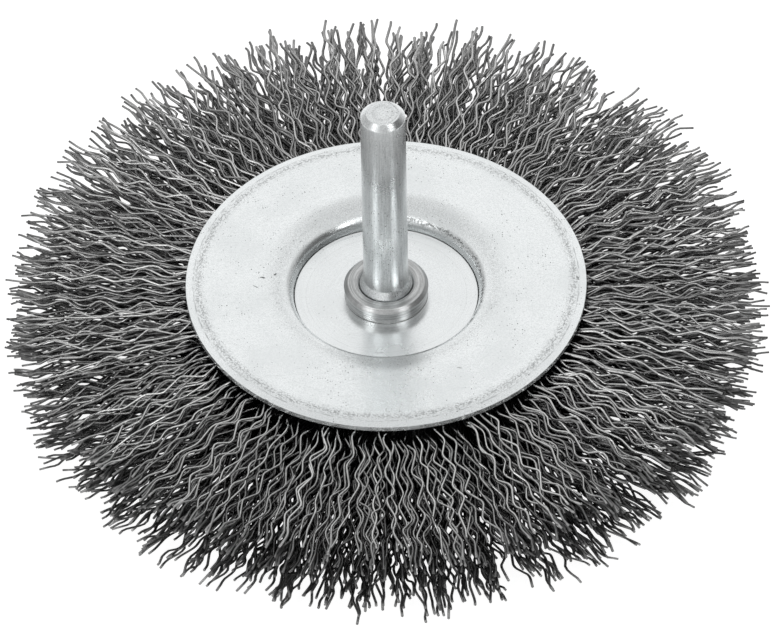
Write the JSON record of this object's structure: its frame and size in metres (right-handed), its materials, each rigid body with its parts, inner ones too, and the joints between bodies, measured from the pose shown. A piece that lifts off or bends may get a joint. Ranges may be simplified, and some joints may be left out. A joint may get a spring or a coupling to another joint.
{
  "type": "wire wheel brush",
  "caption": "Round wire wheel brush: crimped steel wires clamped between two pressed discs, on a plain round shank with a turned collar.",
  "frame": {"origin": "on the shank's axis, in the plane of the rear plate's outer face, on which the brush rests", "axes": "+Z out along the shank; the wheel lies in the XY plane"},
  "size_m": [0.0998, 0.0998, 0.0463],
  "materials": {
    "shank_steel": "galvanised, streaked",
    "collar_steel": "turned, zinc plated",
    "plate_zinc": "bright zinc plated",
    "hub_washer_zinc": "bright zinc plated",
    "core_steel": "plain steel",
    "crimped_wire": "dark drawn steel wire"
  },
  "bodies": {
    "root": {"shank": "shank_steel", "collar": "collar_steel", "front_hub_washer": "hub_washer_zinc", "front_plate": "plate_zinc", "core_ring": "core_steel", "hub_spacer": "core_steel", "rear_plate": "plate_zinc", "rear_hub_washer": "hub_washer_zinc", "wire_bundle_01": "crimped_wire", "wire_bundle_02": "crimped_wire", "wire_bundle_03": "crimped_wire", "wire_bundle_04": "crimped_wire", "wire_bundle_05": "crimped_wire", "wire_bundle_06": "crimped_wire", "wire_bundle_07": "crimped_wire", "wire_bundle_08": "crimped_wire", "wire_bundle_09": "crimped_wire", "wire_bundle_10": "crimped_wire", "wire_bundle_11": "crimped_wire", "wire_bundle_12": "crimped_wire", "wire_bundle_13": "crimped_wire", "wire_bundle_14": "crimped_wire", "wire_bundle_15": "crimped_wire", "wire_bundle_16": "crimped_wire", "wire_bundle_17": "crimped_wire", "wire_bundle_18": "crimped_wire", "wire_bundle_19": "crimped_wire", "wire_bundle_20": "crimped_wire", "wire_bundle_21": "crimped_wire", "wire_bundle_22": "crimped_wire", "wire_bundle_23": "crimped_wire", "wire_bundle_24": "crimped_wire", "wire_bundle_25": "crimped_wire", "wire_bundle_26": "crimped_wire", "wire_bundle_27": "crimped_wire", "wire_bundle_28": "crimped_wire", "wire_bundle_29": "crimped_wire", "wire_bundle_30": "crimped_wire", "wire_bundle_31": "crimped_wire", "wire_bundle_32": "crimped_wire", "wire_bundle_33": "crimped_wire", "wire_bundle_34": "crimped_wire", "wire_bundle_35": "crimped_wire", "wire_bundle_36": "crimped_wire"}
  },
  "joints": []
}
